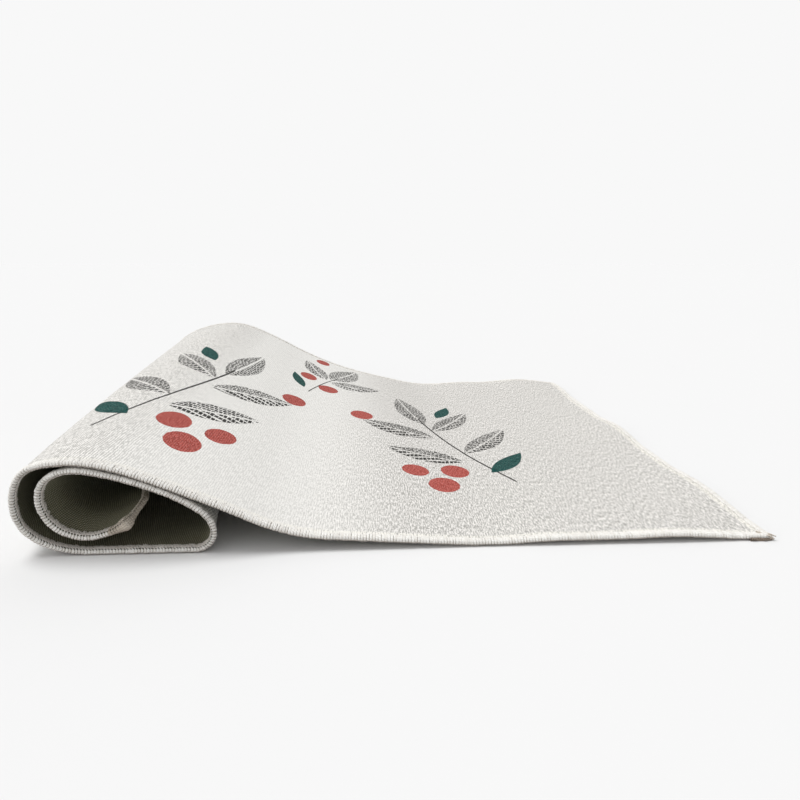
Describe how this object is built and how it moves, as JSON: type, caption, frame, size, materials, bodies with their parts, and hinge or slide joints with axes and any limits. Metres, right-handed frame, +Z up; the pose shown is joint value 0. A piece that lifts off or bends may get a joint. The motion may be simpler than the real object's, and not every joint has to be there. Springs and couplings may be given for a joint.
{
  "type": "chenille rug, half unrolled",
  "caption": "Thin rectangular chenille rug with an overlocked edge, flat at one end and rising over a loose roll of its own cloth at the other.",
  "frame": {"origin": "middle of the bottom of the rug's bounding box, on the floor", "axes": "+Z up from the floor; +X towards the flat short end, away from the roll; +Y towards the long side where the roll stands taller"},
  "size_m": [0.971, 0.8024, 0.1698],
  "materials": {
    "chenille_cloth": "matte cream chenille pile with a printed motif, and a coarse dark grey-green woven back",
    "overlock_thread": "matte off-white overlocking thread"
  },
  "bodies": {
    "root": {"rug_cloth": "chenille_cloth", "overlock_edge": "overlock_thread"}
  },
  "joints": []
}
